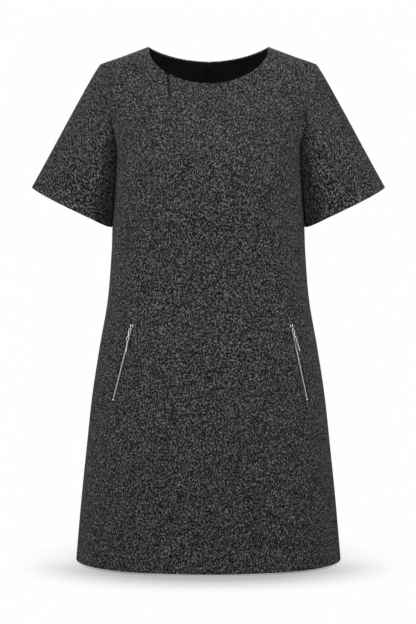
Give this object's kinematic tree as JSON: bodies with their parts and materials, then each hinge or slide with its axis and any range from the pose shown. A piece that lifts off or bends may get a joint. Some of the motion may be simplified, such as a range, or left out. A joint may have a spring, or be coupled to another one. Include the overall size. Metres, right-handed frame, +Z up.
{
  "type": "short-sleeved shift dress",
  "caption": "Short-sleeved A-line shift dress in dark grey tweed, filled out as worn, with a faced round neck, slanted zip pockets and a concealed centre-back zip.",
  "frame": {"origin": "where the dress is held up: midway between the two points where the neckline meets the shoulder seams", "axes": "+Z up along the dress, from hem to neck; the front faces -Y; +X is to the right of someone who faces the front"},
  "size_m": [0.581, 0.254, 0.8481],
  "materials": {
    "tweed": "matte salt-and-pepper boucle tweed",
    "facing_cloth": "smooth matte black",
    "zip_tape": "fine woven black tape",
    "nickel": "bright nickel plate",
    "dark_enamel": "black enamel"
  },
  "bodies": {
    "dress": {"front": "tweed", "back_left": "tweed", "back_right": "tweed", "sleeve_left": "tweed", "sleeve_right": "tweed", "facing_front": "facing_cloth", "facing_back_left": "facing_cloth", "facing_back_right": "facing_cloth", "zip_left_tape_side": "zip_tape", "zip_left_tape_front": "zip_tape", "zip_left_chain": "nickel", "zip_left_stop_bottom": "nickel", "zip_left_stop_top_a": "nickel", "zip_left_stop_top_b": "nickel", "zip_left_slider": "nickel", "zip_right_tape_side": "zip_tape", "zip_right_tape_front": "zip_tape", "zip_right_chain": "nickel", "zip_right_stop_bottom": "nickel", "zip_right_stop_top_a": "nickel", "zip_right_stop_top_b": "nickel", "zip_right_slider": "nickel", "back_zip_tape_left": "zip_tape", "back_zip_tape_right": "zip_tape", "back_zip_coil": "dark_enamel", "back_zip_slider": "dark_enamel"},
    "left_pull": {"zip_left_pull": "nickel"},
    "right_pull": {"zip_right_pull": "nickel"},
    "back_pull": {"back_zip_pull": "dark_enamel"}
  },
  "joints": [
    {"name": "left_pull_hinge", "type": "hinge", "parent": "dress", "child": "left_pull", "pos_m": [-0.12781, -0.09202, -0.48056], "axis": [-0.8233, 0.5545, 0.1209], "range_deg": [0, 165]},
    {"name": "right_pull_hinge", "type": "hinge", "parent": "dress", "child": "right_pull", "pos_m": [0.13783, -0.08475, -0.4807], "axis": [-0.7287, -0.6244, -0.2812], "range_deg": [0, 165]},
    {"name": "back_pull_hinge", "type": "hinge", "parent": "dress", "child": "back_pull", "pos_m": [0, 0.06223, -0.02006], "axis": [1, 0, 0], "range_deg": [0, 165]}
  ]
}
